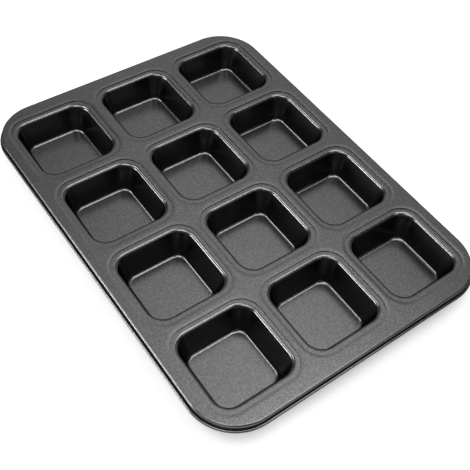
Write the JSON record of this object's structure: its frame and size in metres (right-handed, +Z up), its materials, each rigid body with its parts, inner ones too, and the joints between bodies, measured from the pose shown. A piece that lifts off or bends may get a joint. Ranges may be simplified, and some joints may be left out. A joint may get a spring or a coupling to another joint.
{
  "type": "square cup baking pan",
  "caption": "Shallow rectangular baking pan pressed from one coated steel sheet: square tapered cups sunk in a flat top, a short skirt and a rolled rim, for mini loaves and small cakes.",
  "frame": {"origin": "centre of the footprint, on the surface that the cup floors stand on", "axes": "+X along the rows of four cups, the length of the pan; +Y along the rows of three cups; +Z up, out of the cups"},
  "size_m": [0.35, 0.26, 0.0244],
  "materials": {
    "coated_steel": "dark grey non-stick coating with a fine metallic speckle, satin",
    "wire_steel": "drawn steel wire, bare"
  },
  "bodies": {
    "root": {"pan_sheet": "coated_steel", "rim_wire": "wire_steel"}
  },
  "joints": []
}
